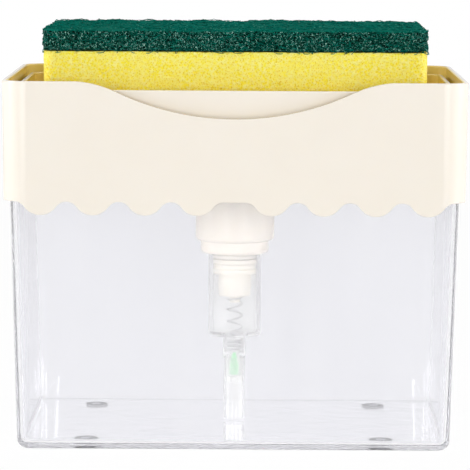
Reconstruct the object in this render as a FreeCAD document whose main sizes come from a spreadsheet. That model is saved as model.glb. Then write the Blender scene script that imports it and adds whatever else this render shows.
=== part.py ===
"""Soap pump caddy: a clear soap tub under a scalloped collar, a press tray with a sponge, and its pump.

The frame: millimetres, +Z up, the front towards -Y, the origin under the middle of the tub on the
surface that the caddy stands on.
"""
import FreeCAD, Part
import math
import os
import re
import Sketcher

# Driving dimensions, each written once. Lengths in millimetres, angles in degrees.
SIZES = {
    # Collar: an open well on top, a deck that closes the tub, a scalloped skirt outside the tub
    "collar_corner": 7.5,
    "collar_wall": 1.5,
    "collar_draft": 0.7,
    "rim_round": 0.5,
    "well_depth": 29.5,
    "deck_thickness": 2.0,
    "skirt_length": 7.1,
    "skirt_gap": 0.25,
    # Scallops along the foot of the skirt, on its front and its back
    "scallop_depth": 3.9,
    "lobe_radius": 5.6,
    "lobe_pitch": 15.1,
    "lobe_middle_gap": 21.4,
    # Finger dip in the front wall of the well
    "dip_depth": 10.65,
    "dip_radius": 80.0,
    "dip_shoulder": 31.0,
    # Clear tub
    "tub_wall": 1.8,
    "tub_floor": 2.0,
    "tub_draft": 1.5,
    "tub_foot_round": 3.0,
    "tub_inner_round": 1.4,
    "pad_diameter": 7.0,
    "pad_thickness": 0.8,
    "pad_inset_x": 21.8,
    "pad_inset_y": 14.3,
    # Press tray
    "press_gap": 0.8,
    "press_drop": 2.6,
    "press_wall": 1.5,
    "press_rim_round": 0.4,
    "press_floor": 1.8,
    "press_dish_depth": 10.2,
    "press_stroke": 10.0,
    "landing_gap": 1.5,
    "socket_outer": 12.4,
    "socket_length": 12.0,
    "socket_gap": 0.06,
    "web_thickness": 1.6,
    "rest_rib_height": 1.0,
    "rest_rib_width": 2.0,
    "rest_rib_inset": 6.0,
    "rest_rib_pitch": 16.0,
    "rest_rib_first": 16.0,
    "outlet_dome_diameter": 15.0,
    "outlet_dome_height": 0.8,
    "outlet_hole": 2.4,
    # Sponge, and the room round it in the dish
    "sponge_length": 112.0,
    "sponge_width": 70.0,
    "sponge_end_gap": 7.34,
    "sponge_side_gap": 8.34,
    "sponge_corner": 3.0,
    "foam_height": 20.0,
    "scour_height": 6.2,
    # Neck under the deck and the nut on it
    "neck_outer": 19.6,
    "neck_bore": 14.0,
    "nut_drop": 22.95,
    "nut_outer": 23.9,
    "nut_height": 21.0,
    "nut_ring_outer": 20.6,
    "nut_ring_height": 3.9,
    "nut_lip": 2.6,
    "nut_edge_round": 1.3,
    "thread_gap": 0.15,
    "gasket_thickness": 1.2,
    # Pump cylinder, its tail and the suction tube
    "flange_thickness": 1.6,
    "flange_gap": 0.2,
    "barrel_outer": 16.0,
    "barrel_wall": 1.3,
    "barrel_length": 27.7,
    "barrel_floor": 1.4,
    "barrel_edge_round": 0.8,
    "barrel_gap": 0.15,
    "tail_outer": 7.0,
    "tail_length": 6.9,
    "spring_pocket": 5.6,
    "spring_seat": 1.8,
    "seat_web": 0.8,
    "nose_hole": 1.9,
    "valve_bore": 3.4,
    "nipple_outer": 5.0,
    "nipple_length": 7.4,
    "inlet_port": 1.6,
    "inlet_port_length": 1.3,
    "tube_length": 18.65,
    "tube_wall": 0.7,
    "tube_floor_gap": 0.8,
    "press_fit_gap": 0.03,
    # Guide bush, stem, piston and rod
    "bush_flange": 1.2,
    "bush_sleeve": 5.6,
    "running_gap": 0.06,
    "stem_outer": 7.6,
    "stem_bore": 4.4,
    "stem_throat": 3.0,
    "piston_height": 9.7,
    "piston_rest_gap": 0.3,
    "piston_band": 4.4,
    "piston_neck": 9.9,
    "piston_lip": 1.2,
    "piston_lip_wall": 0.9,
    "piston_waist_cut": 0.5,
    "piston_groove_depth": 2.2,
    "piston_hub_wall": 1.0,
    "rod_head": 9.6,
    "rod_head_thickness": 1.5,
    "rod_shank": 7.0,
    "rod_bore": 2.0,
    "rod_spigot": 3.4,
    "rod_spigot_length": 2.2,
    # Valves
    "ball_diameter": 3.4,
    "ball_lift": 1.5,
    "valve_diameter": 2.6,
    "valve_tip": 1.8,
    "valve_body": 4.0,
    "valve_nose": 3.4,
    "valve_nose_tip": 0.9,
    "valve_gap": 0.03,
    # Return spring: close turns at its foot, open turns above, one close turn at its head
    "spring_outer": 5.1,
    "spring_wire": 0.6,
    "spring_foot_turns": 2.5,
    "spring_head_turns": 1.0,
    "spring_open_turns": 3.5,
    "spring_ease_turns": 0.6,
    "spring_start_turn": 0.32,
    "spring_close_pitch": 1.2,
    "spring_end_gap": 0.02,
}

# Levels and sizes that follow from the driving dimensions.
DERIVED = {
    "press_width": "sponge_length + 2 * sponge_end_gap + 2 * press_wall",
    "press_depth": "sponge_width + 2 * sponge_side_gap + 2 * press_wall",
    "collar_lean": "tan(collar_draft * 1deg)",
    "collar_width": "press_width + 2 * press_gap + 2 * collar_wall + 2 * collar_lean * well_depth",
    "collar_depth": "press_depth + 2 * press_gap + 2 * collar_wall + 2 * collar_lean * well_depth",
    "tub_inner_floor": "pad_thickness + tub_floor",
    "tube_foot": "tub_inner_floor + tube_floor_gap",
    "tail_foot": "tube_foot + tube_length",
    "flange_seat": "tail_foot + tail_length + barrel_length",
    "nut_foot": "flange_seat - nut_lip",
    "deck_under": "nut_foot + nut_drop",
    "deck_top": "deck_under + deck_thickness",
    "rim_height": "deck_top + well_depth",
    "lobe_foot": "deck_under - skirt_length",
    "valley": "lobe_foot + scallop_depth",
    "skirt_inner_width": "collar_width - 2 * collar_lean * (rim_height - lobe_foot) - 2 * collar_wall",
    "skirt_inner_depth": "collar_depth - 2 * collar_lean * (rim_height - lobe_foot) - 2 * collar_wall",
    "well_corner": "collar_corner - collar_wall",
    "tub_width": "skirt_inner_width - 2 * skirt_gap",
    "tub_depth": "skirt_inner_depth - 2 * skirt_gap",
    "tub_corner": "well_corner - skirt_gap",
    "press_corner": "well_corner - press_gap",
    "press_rim": "rim_height - press_drop",
    "press_floor_top": "press_rim - press_dish_depth",
    "press_floor_under": "press_floor_top - press_floor",
    "press_foot": "deck_top + press_stroke + landing_gap",
    "sponge_rest": "press_floor_top + rest_rib_height",
    "nut_bore": "neck_outer + 2 * thread_gap",
    "flange_outer": "nut_bore - 2 * flange_gap",
    "barrel_bore": "barrel_outer - 2 * barrel_wall",
    "bush_seat": "flange_seat + flange_thickness",
    "gasket_seat": "bush_seat + bush_flange",
    "neck_length": "deck_under - gasket_seat - gasket_thickness",
    "spring_foot": "tail_foot + spring_seat",
    "nipple_foot": "tail_foot - nipple_length",
    "port_top": "nipple_foot + inlet_port_length",
    "tube_bore": "nipple_outer + 2 * press_fit_gap",
    "tube_outer": "tube_bore + 2 * tube_wall",
    "rod_top": "bush_seat - bush_sleeve - piston_rest_gap - piston_height",
    "spring_head": "rod_top - rod_head_thickness",
    "stem_length": "press_floor_under - rod_top",
    "ball_seat_rise": "rod_shank - (stem_bore - rod_bore) / 2 + press_fit_gap",
    "ball_centre": "rod_top + ball_seat_rise - rod_bore / 2 + (ball_diameter / 2 + valve_gap) * sqrt(2)",
    "ball_stop": "ball_centre - rod_top + ball_diameter / 2 + ball_lift",
    "valve_foot": "port_top + (valve_tip - inlet_port) / 2 + valve_gap * sqrt(2)",
}

# Working allowances of the cuts: how far a cutting outline runs past the face that it cuts.
OVERCUT = 1.0
# The dip's shoulders crest this far above the rim, so that the cut leaves the rim at a clean angle.
DIP_CREST = 0.05
# A full turn of a revolved profile, in degrees.
FULL_TURN = 360.0
# Least gap that the spring's turns keep from each other.
SPRING_LEAST_GAP = 0.4

doc = FreeCAD.newDocument("SoapPumpCaddy")
sheet = doc.addObject("Spreadsheet::Sheet", "Sizes")
for row, (alias, number) in enumerate(SIZES.items(), start=1):
    sheet.set(f"A{row}", alias)
    sheet.set(f"B{row}", str(number))
    sheet.setAlias(f"B{row}", alias)
doc.recompute()


def size(text):
    """The expression for a length: sheet names and derived names are written out in full."""

    def spell(match):
        word = match.group()
        if word in SIZES:
            return f"Sizes.{word}"
        if word in DERIVED:
            return f"({size(DERIVED[word])})"
        return word

    return re.sub(r"\b[a-z_]+\b", spell, text)


def value(text):
    """The number that a length's expression gives now."""
    return float(sheet.evalExpression(size(text)))


def new_body(label):
    """An empty body; its label is the name of the piece."""
    body = doc.addObject("PartDesign::Body", label)
    body.Label = label
    return body


def bind(item, prop, text):
    """Bind one property of an object to the sheet."""
    item.setExpression(prop, size(text))


def blank_sketch(body, name, role, height):
    """A sketch on one of the body's origin planes, raised by height along the plane's normal."""
    sketch = body.newObject("Sketcher::SketchObject", name)
    plane = next(item for item in body.Origin.OriginFeatures if item.Role == role)
    sketch.AttachmentSupport = [(plane, "")]
    sketch.MapMode = "FlatFace"
    bind(sketch, "AttachmentOffset.Base.z", height)
    return sketch


def arc_through(start, end, radius, side):
    """The short arc from start to end; side is 1 where its centre lies left of the way, -1 right."""
    chord = end - start
    half = chord.Length / 2
    across = FreeCAD.Vector(-chord.y, chord.x, 0).normalize()
    centre = (start + end) / 2 + across * side * math.sqrt(max(radius ** 2 - half ** 2, 0))
    first, last = (start, end) if side > 0 else (end, start)
    first_angle = math.atan2(first.y - centre.y, first.x - centre.x)
    last_angle = math.atan2(last.y - centre.y, last.x - centre.x)
    if last_angle < first_angle:
        last_angle += 2 * math.pi
    circle = Part.Circle(centre, FreeCAD.Vector(0, 0, 1), radius)
    return Part.ArcOfCircle(circle, first_angle, last_angle)


def fix_point(sketch, geometry, end, x_text, y_text):
    """Fix one end of a sketch element at a place given by two expressions."""
    for kind, axis, text in (("DistanceX", -2, x_text), ("DistanceY", -1, y_text)):
        number = value(text)
        if abs(number) < 1e-9:
            sketch.addConstraint(Sketcher.Constraint("PointOnObject", geometry, end, axis))
        else:
            index = sketch.addConstraint(Sketcher.Constraint(kind, -1, 1, geometry, end, number))
            bind(sketch, f"Constraints[{index}]", text)


def draw(sketch, outline):
    """Draw a closed outline and tie every corner of it to the sheet.

    Each corner is (x, y), or (x, y, radius, side) where an arc leaves it towards the next corner.
    """
    points = [FreeCAD.Vector(value(corner[0]), value(corner[1]), 0) for corner in outline]
    shapes = []
    ends = []
    for index, corner in enumerate(outline):
        start, end = points[index], points[(index + 1) % len(points)]
        if len(corner) == 2:
            shapes.append(Part.LineSegment(start, end))
            ends.append((1, 2))
        else:
            shapes.append(arc_through(start, end, value(corner[2]), corner[3]))
            ends.append((1, 2) if corner[3] > 0 else (2, 1))
    names = list(sketch.addGeometry(shapes, False))
    for index, corner in enumerate(outline):
        following = (index + 1) % len(outline)
        joint = (names[index], ends[index][1], names[following], ends[following][0])
        sketch.addConstraint(Sketcher.Constraint("Coincident", *joint))
        fix_point(sketch, names[index], ends[index][0], corner[0], corner[1])
        if len(corner) == 4:
            radius = sketch.addConstraint(Sketcher.Constraint("Radius", names[index], value(corner[2])))
            bind(sketch, f"Constraints[{radius}]", corner[2])


def sketch_outline(body, name, role, outlines, height="0"):
    """A sketch that holds one or more closed outlines."""
    sketch = blank_sketch(body, name, role, height)
    for outline in outlines:
        draw(sketch, outline)
    doc.recompute()
    return sketch


def sketch_circles(body, name, circles, height="0"):
    """A sketch on the XY plane that holds circles, each (x, y, diameter)."""
    sketch = blank_sketch(body, name, "XY_Plane", height)
    for x_text, y_text, diameter in circles:
        centre = FreeCAD.Vector(value(x_text), value(y_text), 0)
        circle = Part.Circle(centre, FreeCAD.Vector(0, 0, 1), value(diameter) / 2)
        geometry = sketch.addGeometry(circle, False)
        fix_point(sketch, geometry, 3, x_text, y_text)
        index = sketch.addConstraint(Sketcher.Constraint("Diameter", geometry, value(diameter)))
        bind(sketch, f"Constraints[{index}]", diameter)
    doc.recompute()
    return sketch


def rounded_rectangle(width, depth, corner):
    """The outline of a rectangle with round corners, centred on the axis."""
    right, back = f"(({width}) / 2)", f"(({depth}) / 2)"
    inner_right, inner_back = f"({right} - ({corner}))", f"({back} - ({corner}))"
    return [
        (right, f"-{inner_back}"),
        (right, inner_back, corner, 1),
        (inner_right, back),
        (f"-{inner_right}", back, corner, 1),
        (f"-{right}", inner_back),
        (f"-{right}", f"-{inner_back}", corner, 1),
        (f"-{inner_right}", f"-{back}"),
        (inner_right, f"-{back}", corner, 1),
    ]


def rectangle(left, right, low, high):
    """The outline of a plain rectangle between four sides."""
    return [(left, low), (right, low), (right, high), (left, high)]


def must_cut(body, feature, volume_before):
    """Stop if a cut took nothing away."""
    doc.recompute()
    if feature.Shape.isNull() or not feature.Shape.Volume < volume_before - 1e-6:
        raise RuntimeError(f"{feature.Name} of {body.Label} cuts nothing")
    return feature


def pad(body, sketch, length, downward=False, draft="0"):
    """Raise a sketch to a solid along its normal, or against it; draft draws its sides in on the way."""
    feature = body.newObject("PartDesign::Pad", f"{sketch.Name}_pad")
    feature.Profile = sketch
    feature.Reversed = downward
    bind(feature, "Length", length)
    bind(feature, "TaperAngle", f"-({draft}) * 1deg")
    doc.recompute()
    return feature


def pocket(body, sketch, length, along_normal=False, draft="0"):
    """Cut a sketch into the body, against the sketch's normal or along it; draft as for a pad."""
    before = body.Shape.Volume
    feature = body.newObject("PartDesign::Pocket", f"{sketch.Name}_cut")
    feature.Profile = sketch
    feature.Reversed = along_normal
    bind(feature, "Length", length)
    bind(feature, "TaperAngle", f"-({draft}) * 1deg")
    return must_cut(body, feature, before)


def pocket_through(body, sketch):
    """Cut a sketch right through the body, to both sides of its plane."""
    before = body.Shape.Volume
    feature = body.newObject("PartDesign::Pocket", f"{sketch.Name}_cut")
    feature.Profile = sketch
    feature.Type = "ThroughAll"
    feature.Midplane = True
    return must_cut(body, feature, before)


def turned(label, outline, seat):
    """A turned piece: its half section, as radius and height, spun about the pump's axis."""
    body = new_body(label)
    sketch = sketch_outline(body, f"{label}_section", "XZ_Plane", [outline])
    feature = body.newObject("PartDesign::Revolution", f"{label}_turn")
    feature.Profile = sketch
    feature.ReferenceAxis = (sketch, ["V_Axis"])
    feature.Angle = FULL_TURN
    bind(body, "Placement.Base.z", seat)
    doc.recompute()
    return body


def fillet(body, edges, radius):
    """Round the edges that are given by number on the body's shape so far."""
    base = body.Tip
    feature = body.newObject("PartDesign::Fillet", f"{base.Name}_round")
    feature.Base = (base, [f"Edge{number}" for number in edges])
    bind(feature, "Radius", radius)
    doc.recompute()
    return feature


def edges_at(shape, level):
    """The numbers of the edges that lie wholly at one height."""
    found = []
    for number, edge in enumerate(shape.Edges, start=1):
        box = edge.BoundBox
        if abs(box.ZMin - level) < 1e-4 and abs(box.ZMax - level) < 1e-4:
            found.append(number)
    return found


def make_container():
    """The clear tub: drafted walls, a rounded foot and an open mouth under the deck."""
    body = new_body("container")
    outline = rounded_rectangle("tub_width", "tub_depth", "tub_corner")
    outside = sketch_outline(body, "tub_outside", "XY_Plane", [outline], "deck_under")
    pad(body, outside, "deck_under - pad_thickness", downward=True, draft="tub_draft")
    fillet(body, edges_at(body.Shape, value("pad_thickness")), "tub_foot_round")
    mouth = rounded_rectangle("tub_width - 2 * tub_wall", "tub_depth - 2 * tub_wall", "tub_corner - tub_wall")
    inside = sketch_outline(body, "tub_inside", "XY_Plane", [mouth], "deck_under")
    pocket(body, inside, "deck_under - tub_inner_floor", draft="tub_draft")
    fillet(body, edges_at(body.Shape, value("tub_inner_floor")), "tub_inner_round")
    return body


def make_foot_pads():
    """Four round pads under the corners of the tub."""
    body = new_body("foot_pads")
    body.AllowCompound = True
    places = [(f"{x} * (tub_width / 2 - pad_inset_x)", f"{y} * (tub_depth / 2 - pad_inset_y)", "pad_diameter")
              for x in (-1, 1) for y in (-1, 1)]
    pad(body, sketch_circles(body, "pad_discs", places), "pad_thickness")
    return body


def scallop_outline():
    """What is cut away under the skirt's scalloped edge, from one end of a wall to the other.

    Round lobes and rounder valleys meet at a tangent. Two circles that meet so, half a pitch apart
    and a scallop's depth between their outer points, have radii that add up to radius_sum.
    """
    reach = "(skirt_inner_width / 2 - collar_wall / 2)"
    radius_sum = "(((lobe_pitch / 2) ^ 2 + scallop_depth ^ 2) / (2 * scallop_depth))"
    valley_radius = f"({radius_sum} - lobe_radius)"
    half_lobe = f"(lobe_pitch / 2 * lobe_radius / {radius_sum})"
    meet = f"(valley - scallop_depth * {valley_radius} / {radius_sum})"
    first_to_last = f"({reach} - lobe_pitch / 2 - lobe_middle_gap / 2)"
    lobes_each_way = int(value(f"floor({first_to_last} / lobe_pitch)")) + 1
    right = [f"(lobe_middle_gap / 2 + {step} * lobe_pitch)" for step in range(lobes_each_way)]
    lobes = [f"-{place}" for place in reversed(right)] + right

    outline = [(f"-{reach}", "valley"), (f"{lobes[0]} - lobe_pitch / 2", "valley", valley_radius, -1)]
    for number, lobe in enumerate(lobes):
        outline.append((f"{lobe} - {half_lobe}", meet, "lobe_radius", 1))
        outline.append((f"{lobe} + {half_lobe}", meet, valley_radius, -1))
        if number == lobes_each_way - 1:
            outline.append((f"{lobe} + lobe_pitch / 2", "valley"))
            outline.append((f"-({lobe}) - lobe_pitch / 2", "valley", valley_radius, -1))
    outline.append((f"{lobes[-1]} + lobe_pitch / 2", "valley"))
    outline.append((reach, "valley"))
    foot = f"lobe_foot - {2 * OVERCUT}"
    return outline + [(reach, foot), (f"-{reach}", foot)]


def dip_outline():
    """The finger dip: one wide arc that rises into the rim through two shoulders."""
    crest = f"(rim_height + {DIP_CREST})"
    drop = f"(dip_depth + {DIP_CREST})"
    span = "(dip_radius + dip_shoulder)"
    half = f"sqrt(2 * {drop} * {span} - {drop} ^ 2)"
    bend_x = f"({half} * dip_radius / {span})"
    bend_z = f"({crest} - {drop} * dip_shoulder / {span})"
    above = f"rim_height + {OVERCUT}"
    return [
        (f"-{half}", crest, "dip_shoulder", -1),
        (f"-{bend_x}", bend_z, "dip_radius", 1),
        (bend_x, bend_z, "dip_shoulder", -1),
        (half, crest),
        (half, above),
        (f"-{half}", above),
    ]


def make_collar_tray():
    """The collar: well, deck, skirt scalloped at front and back, finger dip and the pump's neck."""
    body = new_body("collar_tray")
    outline = rounded_rectangle("collar_width", "collar_depth", "collar_corner")
    outside = sketch_outline(body, "collar_outside", "XY_Plane", [outline], "rim_height")
    pad(body, outside, f"rim_height - lobe_foot + {OVERCUT}", downward=True, draft="collar_draft")
    opening_width = "collar_width - 2 * collar_wall"
    opening_depth = "collar_depth - 2 * collar_wall"
    opening = rounded_rectangle(opening_width, opening_depth, "well_corner")
    well = sketch_outline(body, "collar_well", "XY_Plane", [opening], "rim_height")
    pocket(body, well, "well_depth", draft="collar_draft")
    fillet(body, edges_at(body.Shape, value("rim_height")), "rim_round")

    mouth = rounded_rectangle("skirt_inner_width", "skirt_inner_depth", "well_corner")
    mouth_sketch = sketch_outline(body, "skirt_mouth", "XY_Plane", [mouth], "deck_under")
    pocket(body, mouth_sketch, f"skirt_length + {2 * OVERCUT}")

    pocket_through(body, sketch_outline(body, "skirt_scallops", "XZ_Plane", [scallop_outline()]))
    near, far, deep = "(skirt_inner_width / 2 - collar_wall)", "collar_width", "collar_depth"
    sides = [rectangle(near, far, f"-{deep}", deep), rectangle(f"-{far}", f"-{near}", f"-{deep}", deep)]
    side_sketch = sketch_outline(body, "skirt_sides", "XY_Plane", sides, "valley")
    pocket(body, side_sketch, f"scallop_depth + {2 * OVERCUT}")

    dip = sketch_outline(body, "finger_dip", "XZ_Plane", [dip_outline()])
    pocket(body, dip, "collar_depth", along_normal=True)

    neck = sketch_circles(body, "neck", [("0", "0", "neck_outer")], "deck_under")
    pad(body, neck, "neck_length", downward=True)
    bore = sketch_circles(body, "neck_bore", [("0", "0", "neck_bore")], "deck_top")
    pocket(body, bore, f"deck_thickness + neck_length + {OVERCUT}")
    return body


def make_press_tray():
    """The press tray: a dish with a skirt, a socket for the stem, webs below and rest ribs above."""
    body = new_body("press_tray")
    outside = rounded_rectangle("press_width", "press_depth", "press_corner")
    inside = rounded_rectangle("press_width - 2 * press_wall", "press_depth - 2 * press_wall",
                               "press_corner - press_wall")
    block = sketch_outline(body, "press_block", "XY_Plane", [outside], "press_foot")
    pad(body, block, "press_rim - press_foot")
    dish = sketch_outline(body, "press_dish", "XY_Plane", [inside], f"press_rim + {OVERCUT}")
    pocket(body, dish, f"press_dish_depth + {OVERCUT}")
    fillet(body, edges_at(body.Shape, value("press_rim")), "press_rim_round")
    hollow = sketch_outline(body, "press_hollow", "XY_Plane", [inside], f"press_foot - {OVERCUT}")
    pocket(body, hollow, f"press_floor_under - press_foot + {OVERCUT}", along_normal=True)

    half_web = "web_thickness / 2"
    half_width, half_depth = "(press_width / 2 - press_wall / 2)", "(press_depth / 2 - press_wall / 2)"
    webs = {"web_along": rectangle(f"-{half_width}", half_width, f"-{half_web}", half_web),
            "web_across": rectangle(f"-{half_web}", half_web, f"-{half_depth}", half_depth)}
    for name, outline in webs.items():
        web = sketch_outline(body, name, "XY_Plane", [outline], "press_floor_under")
        pad(body, web, "press_floor_under - press_foot", downward=True)
    socket = sketch_circles(body, "stem_socket", [("0", "0", "socket_outer")], "press_floor_under")
    pad(body, socket, "socket_length", downward=True)

    reach = "(press_width / 2 - press_wall - rest_rib_pitch / 2)"
    ribs_each_way = int(value(f"floor(({reach} - rest_rib_first) / rest_rib_pitch)")) + 1
    rib_half = "(sponge_width / 2 - rest_rib_inset)"
    ribs = []
    for side in (-1, 1):
        for step in range(ribs_each_way):
            place = f"{side} * (rest_rib_first + {step} * rest_rib_pitch)"
            ribs.append(rectangle(f"{place} - rest_rib_width / 2", f"{place} + rest_rib_width / 2",
                                  f"-{rib_half}", rib_half))
    rib_sketch = sketch_outline(body, "rest_ribs", "XY_Plane", ribs, "press_floor_top")
    pad(body, rib_sketch, "rest_rib_height")
    dome = sketch_circles(body, "outlet_dome", [("0", "0", "outlet_dome_diameter")], "press_floor_top")
    pad(body, dome, "outlet_dome_height")
    outlet = sketch_circles(body, "outlet_hole", [("0", "0", "outlet_hole")], "sponge_rest")
    pocket(body, outlet, f"press_floor + rest_rib_height + {OVERCUT}")
    socket_bore = [("0", "0", "stem_outer + 2 * socket_gap")]
    bore = sketch_circles(body, "socket_bore", socket_bore, f"press_floor_under - socket_length - {OVERCUT}")
    pocket(body, bore, f"socket_length + {OVERCUT}", along_normal=True)
    return body


def make_sponge_layer(label, foot, height):
    """One layer of the sponge: a block with round upright edges."""
    body = new_body(label)
    outline = rounded_rectangle("sponge_length", "sponge_width", "sponge_corner")
    pad(body, sketch_outline(body, f"{label}_outline", "XY_Plane", [outline], foot), height)
    return body


def make_closure_nut():
    """The nut: a plain skirt over the neck, a stepped ring below and a lip under the cylinder's flange."""
    edge = "nut_edge_round"
    hole = "(barrel_outer / 2 + barrel_gap)"
    return turned("closure_nut", [
        (hole, "0"),
        (f"nut_ring_outer / 2 - {edge}", "0", edge, 1),
        ("nut_ring_outer / 2", edge),
        ("nut_ring_outer / 2", "nut_ring_height"),
        (f"nut_outer / 2 - {edge}", "nut_ring_height", edge, 1),
        ("nut_outer / 2", f"nut_ring_height + {edge}"),
        ("nut_outer / 2", "nut_height"),
        ("nut_bore / 2", "nut_height"),
        ("nut_bore / 2", "nut_lip"),
        (hole, "nut_lip"),
    ], "nut_foot")


def make_neck_gasket():
    """A flat ring between the neck and the bush's flange."""
    ring = rectangle("neck_bore / 2", "flange_outer / 2", "0", "gasket_thickness")
    return turned("neck_gasket", ring, "gasket_seat")


def make_pump_housing():
    """The pump cylinder: flange, barrel, tail with the spring's pocket, nipple with the valve seat."""
    round_edge = "barrel_edge_round"
    barrel_foot = "(-barrel_length)"
    tail = "(-barrel_length - tail_length)"
    nipple = f"({tail} - nipple_length)"
    return turned("pump_housing", [
        ("barrel_bore / 2", "flange_thickness"),
        ("barrel_bore / 2", f"{barrel_foot} + barrel_floor"),
        ("spring_pocket / 2", f"{barrel_foot} + barrel_floor"),
        ("spring_pocket / 2", f"{tail} + spring_seat"),
        ("nose_hole / 2", f"{tail} + spring_seat"),
        ("nose_hole / 2", f"{tail} + spring_seat - seat_web"),
        ("valve_bore / 2", f"{tail} + spring_seat - seat_web"),
        ("valve_bore / 2", f"{nipple} + inlet_port_length + (valve_bore - inlet_port) / 2"),
        ("inlet_port / 2", f"{nipple} + inlet_port_length"),
        ("inlet_port / 2", nipple),
        ("nipple_outer / 2", nipple),
        ("nipple_outer / 2", tail),
        ("tail_outer / 2", tail),
        ("tail_outer / 2", barrel_foot),
        (f"barrel_outer / 2 - {round_edge}", barrel_foot, round_edge, 1),
        ("barrel_outer / 2", f"{barrel_foot} + {round_edge}"),
        ("barrel_outer / 2", "0"),
        ("flange_outer / 2", "0"),
        ("flange_outer / 2", "flange_thickness"),
    ], "flange_seat")


def make_guide_bush():
    """The bush in the mouth of the cylinder: it guides the stem and stops the piston."""
    bore = "(stem_outer / 2 + running_gap)"
    sleeve = "(barrel_bore / 2 - press_fit_gap)"
    return turned("guide_bush", [
        (bore, "-bush_sleeve"),
        (sleeve, "-bush_sleeve"),
        (sleeve, "0"),
        ("flange_outer / 2", "0"),
        ("flange_outer / 2", "bush_flange"),
        (bore, "bush_flange"),
    ], "bush_seat")


def make_dip_tube():
    """The suction tube, pushed up over the nipple as far as the tail."""
    return turned("dip_tube", rectangle("tube_bore / 2", "tube_outer / 2", "0", "tube_length"), "tube_foot")


def make_stem():
    """The hollow stem: a wide bore for the rod and the ball below a narrower throat."""
    throat_foot = "(ball_stop + (stem_bore - stem_throat) / 2)"
    return turned("stem", [
        ("stem_bore / 2", "0"),
        ("stem_outer / 2", "0"),
        ("stem_outer / 2", "stem_length"),
        ("stem_throat / 2", "stem_length"),
        ("stem_throat / 2", throat_foot),
        ("stem_bore / 2", "ball_stop"),
    ], "rod_top")


def make_piston():
    """The piston: a narrow neck on the stem and above it a band with a thin sealing lip at each end."""
    bore = "(stem_outer / 2 + press_fit_gap)"
    hub = f"({bore} + piston_hub_wall)"
    lip = "(barrel_bore / 2 - running_gap)"
    groove = f"({lip} - piston_lip_wall)"
    waist = f"({lip} - piston_waist_cut)"
    top = "piston_height"
    band_foot = "(piston_height - piston_band)"
    return turned("piston", [
        (bore, "0"),
        ("piston_neck / 2", "0"),
        ("piston_neck / 2", band_foot),
        (lip, band_foot),
        (lip, f"{band_foot} + piston_lip"),
        (waist, f"{band_foot} + piston_lip + piston_waist_cut"),
        (waist, f"{top} - piston_lip - piston_waist_cut"),
        (lip, f"{top} - piston_lip"),
        (lip, top),
        (groove, top),
        (groove, f"{top} - piston_groove_depth"),
        (hub, f"{top} - piston_groove_depth"),
        (hub, top),
        (bore, top),
    ], "rod_top")


def make_piston_rod():
    """The rod: a head that carries the spring, a spigot inside it and a shank with the ball's seat."""
    shank = "(stem_bore / 2 - press_fit_gap)"
    return turned("piston_rod", [
        ("rod_bore / 2", "-rod_spigot_length"),
        ("rod_spigot / 2", "-rod_spigot_length"),
        ("rod_spigot / 2", "0"),
        ("rod_head / 2", "0"),
        ("rod_head / 2", "rod_head_thickness"),
        (shank, "rod_head_thickness"),
        (shank, "rod_head_thickness + rod_shank"),
        ("rod_bore / 2", "rod_head_thickness + ball_seat_rise"),
    ], "spring_head")


def make_inlet_valve():
    """The inlet valve: a slim bullet on a conical seat, its nose in the hole above it."""
    cone = "((valve_diameter - valve_tip) / 2)"
    return turned("inlet_valve", [
        ("0", "0"),
        ("valve_tip / 2", "0"),
        ("valve_diameter / 2", cone),
        ("valve_diameter / 2", "valve_body"),
        ("valve_nose_tip / 2", "valve_body + valve_nose"),
        ("0", "valve_body + valve_nose"),
    ], "valve_foot")


def make_outlet_ball():
    """The check ball on the rod's seat."""
    ball = doc.addObject("Part::Sphere", "outlet_ball")
    ball.Label = "outlet_ball"
    bind(ball, "Radius", "ball_diameter / 2")
    bind(ball, "Placement.Base.z", "ball_centre")
    return ball


def eased_turns(turn, ease):
    """The turns past a change of pitch that is eased in over so many turns about it."""
    share = min(max(turn / ease + 0.5, 0), 1)
    return max(turn - ease / 2, 0) + ease * (share / 2 - math.sin(math.pi * share) / (2 * math.pi))


def spring_height(turn, low, high):
    """The height of the spring's wire after so many turns.

    Close turns at the foot and the head, open turns of one pitch between them: the pitch eases from
    one to the other, so that the wire never kinks.
    """
    foot, middle, head, ease = (value(f"spring_{part}_turns") for part in ("foot", "open", "head", "ease"))
    close = value("spring_close_pitch")
    spare = high - low - close * (foot + middle + head)
    opened = eased_turns(turn - foot, ease) - eased_turns(turn - foot - middle, ease)
    return low + close * turn + spare * opened / middle


def biarc(start, start_way, end, end_way):
    """Two arcs that leave start and reach end along the given directions, joined at a tangent."""
    chord = end - start
    ways = start_way + end_way
    quadratic = 2 * (1 - start_way.dot(end_way))
    linear = chord.dot(ways)
    reach = (math.sqrt(linear ** 2 + quadratic * chord.dot(chord)) - linear) / quadratic
    middle = (start + start_way * reach + end - end_way * reach) / 2
    return [tangent_arc(start, start_way, middle), tangent_arc(end, end_way * -1, middle, backward=True)]


def tangent_arc(start, way, end, backward=False):
    """The arc that leaves start along a direction and passes through end."""
    chord = end - start
    side = chord - way * chord.dot(way)
    radius = chord.dot(chord) / (2 * side.Length)
    centre = start + side.normalize() * radius
    halfway = (start + end) / 2 - centre
    through = centre + halfway.normalize() * radius
    return Part.Arc(end, through, start) if backward else Part.Arc(start, through, end)


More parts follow.
